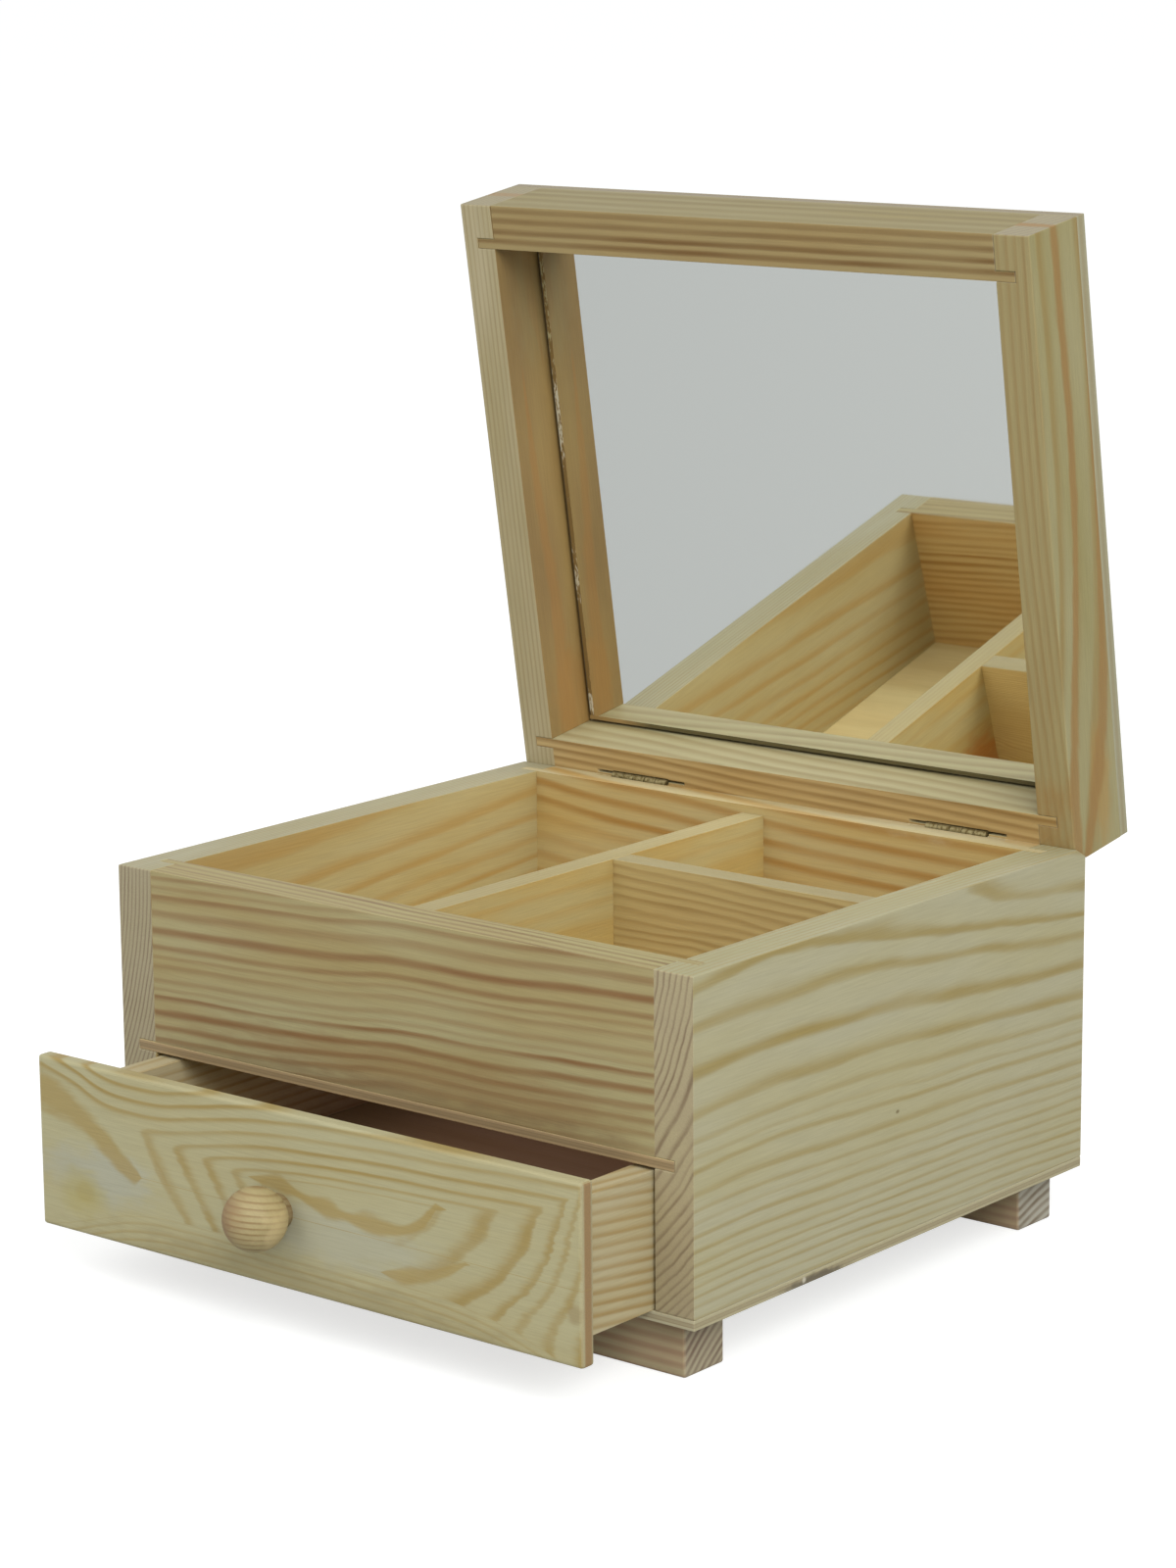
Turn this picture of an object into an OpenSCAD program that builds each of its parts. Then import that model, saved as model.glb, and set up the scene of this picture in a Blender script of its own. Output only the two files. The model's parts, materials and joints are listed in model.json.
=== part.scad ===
// Raw pine vanity box: a drawer, a tray with three compartments and a hinged lid with a mirror.
// X runs to the right, Y to the back and Z up. The origin is the bottom centre of the whole
// object as it stands with the lid open and the drawer pulled out a little.

/* [Box] */
// Width over the side boards
box_w = 210; // [170:1:260]
// Depth over the front and rear boards
box_d = 186; // [150:1:240]
// Thickness of the side boards
side_t = 13; // [10:0.5:16]
// Thickness of the front and rear boards
end_t = 13.5; // [11:0.5:16]
// Thickness of the bottom panel
bottom_t = 3; // [2:0.5:5]
// Height of the drawer opening
opening_h = 39.5; // [30:0.5:60]
// Thickness of the tray floor
floor_t = 3; // [2:0.5:5]
// Height from the tray floor to the rim
tray_depth = 51; // [35:0.5:70]
// Thickness of the tongues on the front and rear boards
tongue_t = 3; // [2:0.5:5]
// Length of the tongues, and depth of the groove for the tray floor
tongue_l = 6.5; // [4:0.5:8]

/* [Dividers] */
// Thickness of the dividers
divider_t = 8; // [5:0.5:12]
// Distance from the rim down to the top of the dividers
divider_drop = 2.4; // [0:0.2:10]
// Place of the long divider, right of the middle of the box
long_divider_x = -6; // [-25:1:25]
// Place of the cross divider, behind the face of the front board
cross_divider_y = 103.5; // [70:0.5:115]

/* [Feet] */
// Height of the runners under the box
foot_h = 16; // [8:0.5:30]
// Depth of each runner from front to back
foot_d = 17; // [12:0.5:30]
// Distance from the side of the box in to the end of a runner
foot_inset_x = 7; // [2:0.5:20]
// Distance from the front or rear of the box in to a runner
foot_inset_y = 5; // [1:0.5:20]

/* [Lid] */
// Height of the lid's frame without its panel
rail_h = 24.5; // [18:0.5:40]
// Thickness of the panel over the lid's frame
panel_t = 4; // [3:0.5:6]
// Amount that each side of the lid is planed back from the side of the box
lid_trim = 1; // [0:0.25:2]
// Gap between the rims when the lid is shut
rim_gap = 0.2; // [0.1:0.05:0.5]
// Distance from the rear face in to the hinge line
hinge_inset = 4.5; // [3:0.25:6]
// Angle of the bevel on the rear edge of the box
box_bevel = 29; // [20:1:40]
// Angle of the bevel on the rear edge of the lid
lid_bevel = 52; // [40:1:60]

/* [Mirror] */
// Thickness of the mirror
mirror_t = 4; // [3:0.5:5]
// Gap between the mirror and the rails around it
mirror_gap = 1; // [0.5:0.1:2]
// Thickness of the foam tape behind the mirror
tape_t = 2; // [1:0.5:3]
// Width of a strip of foam tape
tape_w = 12; // [8:1:20]
// Distance from the edge of the mirror in to the foam tape
tape_inset = 10; // [4:1:20]

/* [Hinges] */
// Distance from the left side of the box in to the middle of the left hinge
left_hinge_in = 48; // [36:1:60]
// Distance from the right side of the box in to the middle of the right hinge
right_hinge_in = 42; // [36:1:60]
// Length of the barrel and of the leaves
hinge_l = 21.5; // [16:0.5:26]
// Outer diameter of the knuckles
barrel_d = 2.6; // [2.4:0.1:3.4]
// Diameter of the pin
pin_d = 1.2; // [1:0.1:1.4]
// Radial clearance of the pin in the knuckles
pin_clear = 0.05; // [0.03:0.01:0.08]
// Thickness of the leaves
leaf_t = 0.8; // [0.6:0.1:1]
// Height of a leaf from the rim into the wood
leaf_h = 5; // [4:0.5:6]
// Gap between two knuckles
knuckle_gap = 0.2; // [0.1:0.05:0.3]
// Length of the kerf that a leaf is pressed into
kerf_l = 35; // [30:0.5:40]
// Depth of that kerf in its middle
kerf_depth = 8.5; // [7:0.5:10]
// Clearance of the kerf on each side of the leaf
kerf_clear = 0.05; // [0.03:0.01:0.1]
// Clearance around the barrel
barrel_clear = 0.3; // [0.2:0.05:0.5]

/* [Drawer] */
// Distance that the drawer stands pulled out
drawer_out = 34.5; // [10:0.5:80]
// Thickness of the sides, back and inner front of the drawer
drawer_t = 8; // [6:0.5:10]
// Gap between a side of the drawer and the side board
drawer_gap_x = 1; // [0.5:0.1:2]
// Gap over the sides of the drawer
drawer_gap_z = 1; // [0.5:0.1:2]
// Gap behind the drawer when it is shut
drawer_gap_y = 2; // [1:0.5:6]
// Thickness of the drawer's bottom
drawer_bottom_t = 3; // [2:0.5:4]
// Distance from the lower edge of the drawer up to its bottom
drawer_lift = 4; // [2:0.5:6]
// Depth of the groove that the drawer's bottom sits in
drawer_groove = 4; // [2:0.5:5]
// Thickness of the overlay front
front_t = 5; // [4:0.5:10]
// Distance from the side of the box in to the end of the overlay front
front_inset = 5.5; // [1:0.5:10]
// Overlap of the overlay front over the top of the opening
front_rise = 7; // [3:0.5:12]
// Distance that the overlay front hangs below the bottom panel
front_drop = 0.5; // [0:0.5:3]

/* [Knob] */
// Diameter of the ball
knob_d = 18; // [14:0.5:24]
// Distance from the overlay front to the middle of the ball
knob_stand = 9.5; // [8:0.5:14]
// Diameter of the neck under the ball
neck_d = 10; // [8:0.5:12]
// Place of the knob, left of the middle of the drawer
knob_left = 6.5; // [0:0.5:20]
// Distance from the middle of the overlay front down to the knob
knob_low = 3; // [0:0.5:8]
// Diameter of the knob screw
screw_d = 3.5; // [3:0.1:4]
// Diameter of the screw's head
screw_head_d = 7; // [6:0.5:8]
// Depth that the screw reaches into the knob
screw_bite = 11; // [8:0.5:12]
// Radial clearance of the screw in its holes
screw_clear = 0.1; // [0.05:0.05:0.3]

/* [Hidden] */
$fn = 48;

// Levels, from the ground up
panel_z = foot_h;
base_z = panel_z + bottom_t;
opening_z = base_z + opening_h;
floor_z = opening_z + floor_t;
rim_z = floor_z + tray_depth;
lid_z = rim_z + rim_gap;
lid_top_z = lid_z + rail_h + panel_t;
divider_z = rim_z - divider_drop;

// Inside of the tray
inner_w = box_w - 2 * side_t;
inner_back = box_d - end_t;
inner_d = inner_back - end_t;

// Middles of the hinges, hinge line, and the angle at which the two bevels meet
left_hinge_x = -box_w / 2 + left_hinge_in;
right_hinge_x = box_w / 2 - right_hinge_in;
pivot_y = box_d - hinge_inset;
pivot_z = rim_z + rim_gap / 2;
lid_angle = box_bevel + lid_bevel;
barrel_r = barrel_d / 2;
bore_r = pin_d / 2 + pin_clear;
leaf_y = pivot_y - barrel_r;
knuckles = 5;
kerf_r = (kerf_l * kerf_l / 4 + kerf_depth * kerf_depth) / (2 * kerf_depth);

// Drawer, with Y counted from the face of the front board when it is shut
drawer_w = inner_w - 2 * drawer_gap_x;
drawer_h = opening_h - drawer_gap_z;
drawer_l = inner_back - drawer_gap_y;
drawer_bottom_z = base_z + drawer_lift;
front_z = panel_z - front_drop;
front_h = opening_z + front_rise - front_z;
front_w = box_w - 2 * front_inset;
knob_x = -knob_left;
knob_z = front_z + front_h / 2 - knob_low;

// The middle of the object from front to back: its foremost point is the knob and its
// rearmost point is the edge between the lid's rear face and its panel
foremost_y = -drawer_out - front_t - knob_stand - knob_d / 2;
rearmost_y = pivot_y + hinge_inset * cos(lid_angle) + (lid_top_z - pivot_z) * sin(lid_angle);
middle_y = (foremost_y + rearmost_y) / 2;

// A cut runs past the faces of the board by this much
past = 1;

pine = "burlywood";
pale_pine = "wheat";
sheet = "tan";
metal = "silver";

module in_frame() {
    translate([0, -middle_y, 0]) children();
}

module at_pivot() {
    translate([0, pivot_y, pivot_z]) children();
}

// Turns what is drawn in its shut place to the open place
module open_lid() {
    in_frame() at_pivot() rotate([-lid_angle, 0, 0]) translate([0, -pivot_y, -pivot_z]) children();
}

module pull_drawer() {
    in_frame() translate([0, -drawer_out, 0]) children();
}

// A block that is centred from left to right
module block(w, y, d, z, h) {
    translate([-w / 2, y, z]) cube([w, d, h]);
}

module along_x(x, l, r) {
    translate([x - l / 2, 0, 0]) rotate([0, 90, 0]) cylinder(r = r, h = l);
}

// Boards and joints of the box and the lid

// A board between the sides, with a tongue at each end along its inner face
module end_board(at_front, z, h) {
    y = at_front ? 0 : inner_back;
    tongue_y = at_front ? end_t - tongue_t : inner_back;
    block(inner_w, y, end_t, z, h);
    block(inner_w + 2 * tongue_l, tongue_y, tongue_t, z, h);
}

module side_blank(right, t, z, h) {
    x = right ? inner_w / 2 : -inner_w / 2 - t;
    translate([x, 0, z]) cube([t, box_d, h]);
}

module tray_floor_blank() {
    block(inner_w + 2 * tongue_l, 0, inner_back + tongue_l, opening_z, floor_t);
}

// The wood that the bevel takes off the rear edge of the box
module box_bevel_cut() {
    at_pivot() rotate([-box_bevel, 0, 0]) translate([-box_w, 0, 0]) cube([2 * box_w, box_d, box_d]);
}

module lid_bevel_cut() {
    at_pivot() rotate([lid_bevel, 0, 0])
        translate([-box_w, 0, -box_d]) cube([2 * box_w, box_d, box_d]);
}

// The kerf is left by a round cutter, so it runs out at both ends
module kerf_disc(up, shrink, t) {
    z = up ? lid_z + kerf_depth - kerf_r : rim_z - kerf_depth + kerf_r;
    translate([0, leaf_y + leaf_t / 2 + t / 2, z]) rotate([90, 0, 0])
        cylinder(r = kerf_r - shrink, h = t, $fn = 96);
}

// Kerf and barrel groove for both hinges
module hinge_cuts(up) {
    for (x = [left_hinge_x, right_hinge_x]) translate([x, 0, 0]) {
        kerf_disc(up, 0, leaf_t + 2 * kerf_clear);
        at_pivot() along_x(0, hinge_l + 2 * barrel_clear, barrel_r + barrel_clear);
    }
}

module side_board(right) {
    color(pine) in_frame() difference() {
        side_blank(right, side_t, base_z, rim_z - base_z);
        end_board(true, floor_z, tray_depth + past);
        end_board(false, base_z - past, rim_z - base_z + 2 * past);
        tray_floor_blank();
        box_bevel_cut();
    }
}

module left_side() side_board(false);

module right_side() side_board(true);

module front_board() {
    color(pine) in_frame() end_board(true, floor_z, tray_depth);
}

module rear_board() {
    color(pine) in_frame() difference() {
        end_board(false, base_z, rim_z - base_z);
        tray_floor_blank();
        box_bevel_cut();
        hinge_cuts(false);
    }
}

module tray_floor() {
    color(sheet) in_frame() tray_floor_blank();
}

module bottom_panel() {
    color(sheet) in_frame() block(box_w, 0, box_d, panel_z, bottom_t);
}

module foot(y) {
    color(pine) in_frame() block(box_w - 2 * foot_inset_x, y, foot_d, 0, foot_h);
}

module front_foot() foot(foot_inset_y);

module rear_foot() foot(box_d - foot_inset_y - foot_d);

module long_divider() {
    color(pale_pine) in_frame()
        translate([long_divider_x - divider_t / 2, end_t, floor_z])
        cube([divider_t, inner_d, divider_z - floor_z]);
}

module cross_divider() {
    x = long_divider_x + divider_t / 2;
    color(pale_pine) in_frame()
        translate([x, cross_divider_y - divider_t / 2, floor_z])
        cube([inner_w / 2 - x, divider_t, divider_z - floor_z]);
}

// Hinges: the leaf is a strip that lies against the front of the barrel, and its knuckles
// are every second one of the row

module hinge_leaf(x, up, first) {
    step = (hinge_l + knuckle_gap) / knuckles;
    knuckle_l = step - knuckle_gap;
    near = barrel_r + barrel_clear;
    turn = up ? 0 : 180;
    strip_y = up ? -barrel_r : barrel_r - leaf_t;
    color(metal) translate([x, 0, 0]) difference() {
        union() {
            intersection() {
                at_pivot() rotate([turn, 0, 0]) translate([-hinge_l / 2, strip_y, near])
                    cube([hinge_l, leaf_t, leaf_h - near]);
                kerf_disc(up, kerf_clear, leaf_t);
            }
            for (i = [first : 2 : knuckles - 1]) {
                middle = -hinge_l / 2 + i * step + knuckle_l / 2;
                at_pivot() along_x(middle, knuckle_l, barrel_r);
                at_pivot() rotate([turn, 0, 0]) translate([middle - knuckle_l / 2, strip_y, 0])
                    cube([knuckle_l, leaf_t, near + past]);
            }
        }
        at_pivot() along_x(0, hinge_l + 2 * past, bore_r);
    }
}

module hinge_pin(x) {
    color(metal) in_frame() at_pivot() along_x(x, hinge_l, pin_d / 2);
}

module left_hinge_box_leaf() in_frame() hinge_leaf(left_hinge_x, false, 0);

module right_hinge_box_leaf() in_frame() hinge_leaf(right_hinge_x, false, 0);

module left_hinge_lid_leaf() open_lid() hinge_leaf(left_hinge_x, true, 1);

module right_hinge_lid_leaf() open_lid() hinge_leaf(right_hinge_x, true, 1);

module left_hinge_pin() hinge_pin(left_hinge_x);

module right_hinge_pin() hinge_pin(right_hinge_x);

// Lid

module lid_side(right) {
    color(pine) open_lid() difference() {
        side_blank(right, side_t - lid_trim, lid_z, rail_h);
        end_board(true, lid_z - past, rail_h + 2 * past);
        end_board(false, lid_z - past, rail_h + 2 * past);
        lid_bevel_cut();
    }
}

module lid_left_rail() lid_side(false);

module lid_right_rail() lid_side(true);

module lid_front_rail() {
    color(pine) open_lid() end_board(true, lid_z, rail_h);
}

module lid_rear_rail() {
    color(pine) open_lid() difference() {
        end_board(false, lid_z, rail_h);
        lid_bevel_cut();
        hinge_cuts(true);
    }
}

module lid_panel() {
    color(sheet) open_lid() block(box_w - 2 * lid_trim, 0, box_d, lid_z + rail_h, panel_t);
}

module mirror() {
    color("lightgray") open_lid()
        block(inner_w - 2 * mirror_gap, end_t + mirror_gap, inner_d - 2 * mirror_gap,
              lid_z + rail_h - tape_t - mirror_t, mirror_t);
}

// Three strips from front to back, between the mirror and the panel
module mirror_tape() {
    reach = inner_w / 2 - mirror_gap - tape_inset - tape_w / 2;
    color("white") open_lid() for (i = [-1, 0, 1]) translate([i * reach, 0, 0])
        block(tape_w, end_t + mirror_gap + tape_inset, inner_d - 2 * mirror_gap - 2 * tape_inset,
              lid_z + rail_h - tape_t, tape_t);
}

// Drawer

module drawer_bottom_blank() {
    y = drawer_t - drawer_groove;
    block(drawer_w - 2 * y, y, drawer_l - 2 * y, drawer_bottom_z, drawer_bottom_t);
}

module drawer_side(right) {
    x = right ? drawer_w / 2 - drawer_t : -drawer_w / 2;
    color(pine) pull_drawer() difference() {
        translate([x, 0, base_z]) cube([drawer_t, drawer_l, drawer_h]);
        drawer_bottom_blank();
    }
}

module drawer_left_side() drawer_side(false);

module drawer_right_side() drawer_side(true);

// The holes along the knob's axis: the screw's shank and its countersunk head
module knob_axis() {
    translate([knob_x, 0, knob_z]) rotate([90, 0, 0]) children();
}

module screw(clear) {
    head_h = (screw_head_d - screw_d) / 2;
    knob_axis() translate([0, 0, -drawer_t]) {
        cylinder(d = screw_d + 2 * clear, h = drawer_t + front_t + screw_bite + clear);
        cylinder(d1 = screw_head_d + 2 * clear, d2 = screw_d + 2 * clear, h = head_h);
    }
}

module drawer_cross_board(y) {
    block(drawer_w - 2 * drawer_t, y, drawer_t, base_z, drawer_h);
}

module drawer_inner_front() {
    color(pine) pull_drawer() difference() {
        drawer_cross_board(0);
        drawer_bottom_blank();
        screw(screw_clear);
    }
}

module drawer_back() {
    color(pine) pull_drawer() difference() {
        drawer_cross_board(drawer_l - drawer_t);
        drawer_bottom_blank();
    }
}

module drawer_bottom() {
    color(sheet) pull_drawer() drawer_bottom_blank();
}

module drawer_front() {
    color(pale_pine) pull_drawer() difference() {
        block(front_w, -front_t, front_t, front_z, front_h);
        screw(screw_clear);
    }
}

module knob() {
    color(pale_pine) pull_drawer() difference() {
        knob_axis() translate([0, 0, front_t]) {
            translate([0, 0, knob_stand]) sphere(d = knob_d, $fn = 96);
            cylinder(d = neck_d, h = knob_stand);
        }
        screw(screw_clear);
    }
}

module knob_screw() {
    color(metal) pull_drawer() screw(0);
}

left_side();
right_side();
front_board();
rear_board();
tray_floor();
bottom_panel();
front_foot();
rear_foot();
long_divider();
cross_divider();
left_hinge_box_leaf();
right_hinge_box_leaf();
left_hinge_pin();
right_hinge_pin();
lid_left_rail();
lid_right_rail();
lid_front_rail();
lid_rear_rail();
lid_panel();
mirror();
mirror_tape();
left_hinge_lid_leaf();
right_hinge_lid_leaf();
drawer_front();
drawer_inner_front();
drawer_left_side();
drawer_right_side();
drawer_back();
drawer_bottom();
knob();
knob_screw();
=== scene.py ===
# Raw pine vanity box: a tray and a drawer, under a hinged lid that holds a mirror
import json
import math
from dataclasses import dataclass

import bmesh
import bpy
from mathutils import Matrix, Vector


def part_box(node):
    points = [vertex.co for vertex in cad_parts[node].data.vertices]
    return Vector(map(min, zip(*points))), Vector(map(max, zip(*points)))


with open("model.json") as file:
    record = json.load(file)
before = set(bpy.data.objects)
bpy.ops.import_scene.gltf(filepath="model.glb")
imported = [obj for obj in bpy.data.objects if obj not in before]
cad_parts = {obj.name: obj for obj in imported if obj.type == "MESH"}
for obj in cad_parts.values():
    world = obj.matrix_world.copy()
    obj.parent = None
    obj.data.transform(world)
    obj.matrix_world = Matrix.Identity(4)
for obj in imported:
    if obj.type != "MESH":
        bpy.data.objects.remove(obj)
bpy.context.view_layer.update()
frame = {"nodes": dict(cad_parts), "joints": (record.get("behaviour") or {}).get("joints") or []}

MM = 0.001
X, Y = 0, 1

# Camera: where the photograph was taken from, in metres and degrees
CAMERA_PLACE = Vector((0.76108, -0.91828, 0.39293))
CAMERA_AZIMUTH = 39.356
CAMERA_ELEVATION = 12.128
CAMERA_ROLL = -0.484
CAMERA_LENS_MM = 98.079
SENSOR_HEIGHT_MM = 36.0

# Light, in metres and watts: two soft boxes in front, a pale sky and a pale table
SKY_LIGHT = "#ced0d1"
TABLE_COLOUR = "#bebfbe"
TABLE_GLOW = "#d7d7d7"
TABLE_REACH = 30.0
KEY_LAMP = dict(place=(1.6, -1.1, 1.55), target=(0, 0, 0.12), size=1.4, watts=38)
FILL_LAMP = dict(place=(-0.3, -2.0, 1.8), target=(0, 0, 0.12), size=1.6, watts=16)

# What the mirror throws back into the tray, kept off the lid so that the lid may shut under it,
# and the warm light that seeps into the drawer
MIRROR_GLOW = dict(place=(0, 0.088, 0.2), target=(0, -0.9, 0.044), size=0.16, watts=0.08, seen=False)
DRAWER_GLOW = dict(place=(0, -0.03, 0.055), target=(0, -0.03, 0), size=0.12, watts=0.0092,
                   colour="#ffd0de", seen=False)

# Boards are described in millimetres as on the shut box: x from the middle, y back from the face
# of the front board, z up from the table. The drawer is described a little out, where it rests.
HINGE = next(joint for joint in frame["joints"] if joint["type"] == "hinge")
LID_OPEN = math.radians(abs(HINGE["range_deg"][0]))
FRONT_FACE = -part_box("front_board")[0][1]


def linear(hex_colour):
    """An sRGB hex colour as the linear RGBA that a shader takes."""
    parts = [int(hex_colour[i:i + 2], 16) / 255 for i in (1, 3, 5)]
    return [c / 12.92 if c <= 0.04045 else ((c + 0.055) / 1.055) ** 2.4 for c in parts] + [1.0]


def first_enabled(sockets):
    """The first socket that is in use at the node's present settings."""
    return next(socket for socket in sockets if socket.enabled)


def add(tree, kind, inputs=(), **settings):
    """Adds a shader node with its settings. Its sockets take numbers, colours, nodes or outputs."""
    node = tree.nodes.new("ShaderNode" + kind)
    for name, value in settings.items():
        setattr(node, name, value)
    in_use = [socket for socket in node.inputs if socket.enabled]
    pairs = inputs.items() if isinstance(inputs, dict) else zip(range(len(in_use)), inputs)
    for key, value in pairs:
        socket = node.inputs[key] if isinstance(key, str) else in_use[key]
        if isinstance(value, bpy.types.Node):
            value = first_enabled(value.outputs)
        if isinstance(value, bpy.types.NodeSocket):
            tree.links.new(value, socket)
        elif value is not None:
            socket.default_value = value
    return node


def draw_curve(node, points, handles="AUTO_CLAMPED", extend="HORIZONTAL"):
    """Sets a Float Curve node to run through the points, outside the unit square too."""
    node.mapping.use_clip = False
    node.mapping.extend = extend
    curve = node.mapping.curves[0]
    for _ in range(len(points) - 2):
        curve.points.new(0.0, 0.0)
    for knot, place in zip(curve.points, points):
        knot.location = place
        knot.handle_type = handles
    node.mapping.update()


def new_material(name):
    """An empty node material."""
    material = bpy.data.materials.new(name)
    material.use_nodes = True
    material.node_tree.nodes.clear()
    return material


def wear(piece, material):
    """Gives a piece one material all over."""
    piece.data.materials.clear()
    piece.data.materials.append(material)


# Light and camera

def make_camera():
    """The photograph's camera, from its place, direction, roll and lens."""
    azimuth = math.radians(CAMERA_AZIMUTH)
    elevation = math.radians(CAMERA_ELEVATION)
    roll = math.radians(CAMERA_ROLL)
    forward = Vector((-math.cos(elevation) * math.sin(azimuth),
                      math.cos(elevation) * math.cos(azimuth),
                      -math.sin(elevation)))
    level = forward.cross(Vector((0, 0, 1))).normalized()
    raised = level.cross(forward)
    right = level * math.cos(roll) + raised * math.sin(roll)
    up = raised * math.cos(roll) - level * math.sin(roll)
    data = bpy.data.cameras.new("camera")
    data.sensor_fit = "VERTICAL"
    data.sensor_height = SENSOR_HEIGHT_MM
    data.lens = CAMERA_LENS_MM
    camera = bpy.data.objects.new("camera", data)
    axes = Matrix((right, up, -forward)).transposed()
    camera.matrix_world = Matrix.Translation(CAMERA_PLACE) @ axes.to_4x4()
    bpy.context.collection.objects.link(camera)
    bpy.context.scene.camera = camera


def make_lamp(name, place, target, size, watts, colour="#ffffff", seen=True, falls_on=()):
    """A square soft box that shines at a point. It can be hidden from view, or kept to some pieces."""
    data = bpy.data.lights.new(name, "AREA")
    data.size = size
    data.energy = watts
    data.color = linear(colour)[:3]
    lamp = bpy.data.objects.new(name, data)
    lamp.location = place
    lamp.visible_camera = seen
    lamp.visible_glossy = seen
    lamp.rotation_euler = (Vector(target) - Vector(place)).to_track_quat("-Z", "Y").to_euler()
    bpy.context.collection.objects.link(lamp)
    if falls_on:
        lit = bpy.data.collections.new(name + "_falls_on")
        for piece in falls_on:
            lit.objects.link(piece)
        lamp.light_linking.receiver_collection = lit


def make_world():
    """An even pale sky that lights the box. It is seen as plain white."""
    world = bpy.data.worlds.new("studio")
    world.use_nodes = True
    tree = world.node_tree
    tree.nodes.clear()
    path = add(tree, "LightPath")
    through = add(tree, "Math", (path.outputs["Is Glossy Ray"], path.outputs["Is Transmission Ray"]),
                  operation="MAXIMUM")
    seen = add(tree, "Math", (path.outputs["Is Camera Ray"], through), operation="MAXIMUM")
    shown = add(tree, "Mix", (seen, linear(SKY_LIGHT), linear("#ffffff")), data_type="RGBA")
    background = add(tree, "Background", (shown, 1.0))
    add(tree, "OutputWorld", (background,))
    bpy.context.scene.world = world


def make_floor():
    """A matt pale table top that keeps the box's shadow and looks white from the camera."""
    mesh = bpy.data.meshes.new("floor")
    shape = bmesh.new()
    bmesh.ops.create_grid(shape, x_segments=1, y_segments=1, size=TABLE_REACH)
    shape.to_mesh(mesh)
    shape.free()
    floor = bpy.data.objects.new("floor", mesh)
    bpy.context.collection.objects.link(floor)
    material = new_material("pale_paper_table")
    tree = material.node_tree
    path = add(tree, "LightPath")
    paper = add(tree, "BsdfDiffuse", (linear(TABLE_COLOUR),))
    glow = add(tree, "Emission", (linear(TABLE_GLOW), path.outputs["Is Camera Ray"]))
    both = add(tree, "AddShader", (paper, glow))
    add(tree, "OutputMaterial", (both,))
    wear(floor, material)


# Pine

# Patterns in the wood: reach along the grain and across it in millimetres, and a seed.
# Noise is used over its spread only, and each seed shifts it to a place of its own.
RING_BENDS = (70, 14, 1)
LINE_FADING = (45, 9, 2)
BROAD_TONES = (90, 16, 3)
FIBRES = (14, 0.5, 4)
MARK_EDGES = (9, 3.5, 5)
DRAWER_BENDS = (26, 9, 6)
DRAWER_TEARS = (8, 1.4, 7)
NOISE_SPREAD = (0.3, 0.7)
TONE_SPREAD = (0.35, 0.68)
FIBRE_SPREAD = (0.25, 0.75)
SEED_SHIFT = (3.7, 5.3, 7.1)

# A year's dark line: places from its middle, in parts of its share of the year, and its darkness.
# Years differ in darkness, and each line fades here and there.
LINE_SHAPE = ((-1.1, 0.03), (-0.4, 0.65), (0, 1), (0.35, 0.7), (0.75, 0))
YEAR_LUCK = (0.72, 1.0)
FADED_LINE = (0.65, 1.1)

# The edge of a sheet: darkness of its three plies and of the two glue lines between them
FACE_PLY = 0.1
FACE_PLY_AT_GLUE = 0.2
CORE_PLY = 0.6
GLUE = 1.0
GLUE_REACH = 0.2

# Marks, both stains and painted shade and light: how ragged they are, and where they start and end,
# in parts of their reach
MARK_RAGGEDNESS = 0.9
MARK_RIM = 1.45
MARK_FULL = 0.8
THINNEST_STREAK = 0.001

# The dry surface: brightness between fibres, roughness of spring and summer wood, and relief
FIBRE_SHADES = (0.91, 1.03)
SPRING_ROUGHNESS = 0.66
SUMMER_ROUGHNESS = 0.54
SUMMER_RELIEF = 0.5
RELIEF_STRENGTH = 0.35
RELIEF_HEIGHT = 0.15 * MM

# Cosines between a surface and a side of the box: not facing it, and facing it
FACING_AWAY = 0.55
FACING = 0.85

SIDES = {"left": (-1, 0, 0), "right": (1, 0, 0), "front": (0, -1, 0), "back": (0, 1, 0),
         "top": (0, 0, 1), "under": (0, 0, -1)}
END_NAMES = {X: ("left", "right"), Y: ("front", "back")}


@dataclass(frozen=True)
class Tone:
    """The colours of one side of a board: spring wood in two tones, and summer wood."""
    early: str
    warm: str
    late: str


@dataclass(frozen=True)
class Mark:
    """A soft-edged mark, for stains and for painted shade and light: an oval in space, turned about the
    middle of its own length.
    """
    centre: tuple
    reach: tuple
    colour: str
    strength: float = 0.8
    turn: tuple = (0, 0, 0)


@dataclass(frozen=True)
class Streak:
    """A soft-edged streak in the wood that follows a path along the grain: heights and half widths."""
    path: tuple
    width: tuple
    colour: str
    strength: float = 0.8


@dataclass(frozen=True)
class Timber:
    """How a piece was cut from the log. Rings run about a heart, which may lie beside the board.

    The ruler is the line on which the dark lines were read off: its direction, and where it stands.
    Strengths say how dark each line is, share is a line's part of its year, sway is the bend of the
    log along the grain, and wander is how far the lines waver. Plies are the two faces of a sheet.
    """
    node: str
    body: str
    grain: int
    heart: tuple
    ruler: tuple
    rings: tuple
    tone: Tone
    ends: Tone = Tone("#9a9072", "#9a9072", "#7f7160")
    sides: tuple = ()
    strengths: tuple = ()
    strength: float = 1.0
    share: float = 0.34
    sway_across: tuple = ()
    sway_up: tuple = ()
    wander: float = 0.5
    marks: tuple = ()
    plies: tuple = ()


def spaced(first, step, count):
    """Places that lie one step apart."""
    return tuple(first + step * i for i in range(count))


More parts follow.
